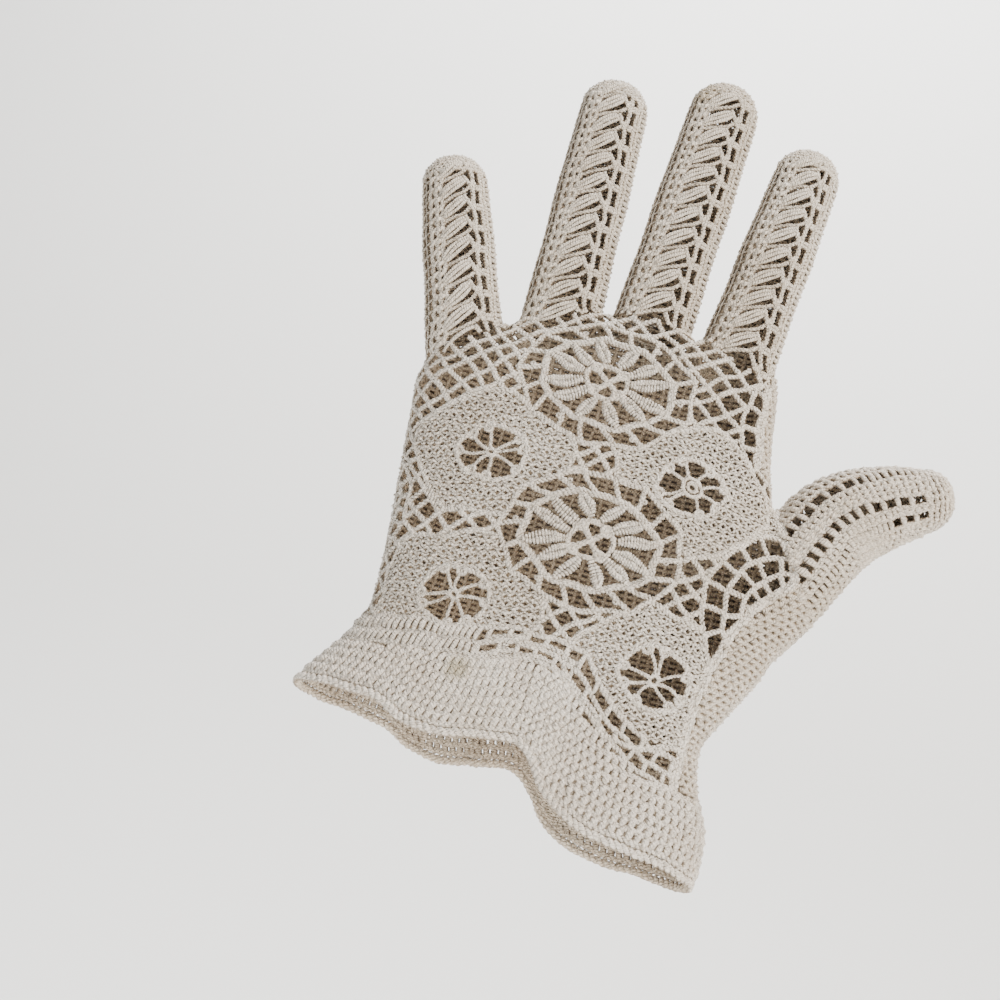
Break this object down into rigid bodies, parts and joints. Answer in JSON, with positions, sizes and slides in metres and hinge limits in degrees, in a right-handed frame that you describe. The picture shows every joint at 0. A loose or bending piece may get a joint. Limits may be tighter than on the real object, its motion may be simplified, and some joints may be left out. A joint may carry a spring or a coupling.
{
  "type": "crochet glove",
  "caption": "Left-hand dress glove crocheted in ecru cotton, with a pierced lace back, plain palm, closed finger tubes and a flared scalloped cuff.",
  "frame": {"origin": "middle of the wrist opening, where the hand goes in", "axes": "+Z along the hand to the middle finger, +X to the thumb side, +Y to the palm"},
  "size_m": [0.1459, 0.0372, 0.2032],
  "materials": {
    "lace_cotton": "mercerised cotton thread, fine crochet lace, soft sheen",
    "palm_cotton": "cotton thread, dense plain crochet, matt",
    "finger_cotton": "cotton thread, herringbone clusters and open mesh, matt",
    "cuff_cotton": "cotton thread, dense single crochet rows with a corded edge, matt"
  },
  "bodies": {
    "root": {"back_panel": "lace_cotton", "palm_panel": "palm_cotton", "little_finger": "finger_cotton", "ring_finger": "finger_cotton", "middle_finger": "finger_cotton", "index_finger": "finger_cotton", "thumb": "palm_cotton", "cuff_band": "cuff_cotton", "cuff_edging": "cuff_cotton"}
  },
  "joints": []
}
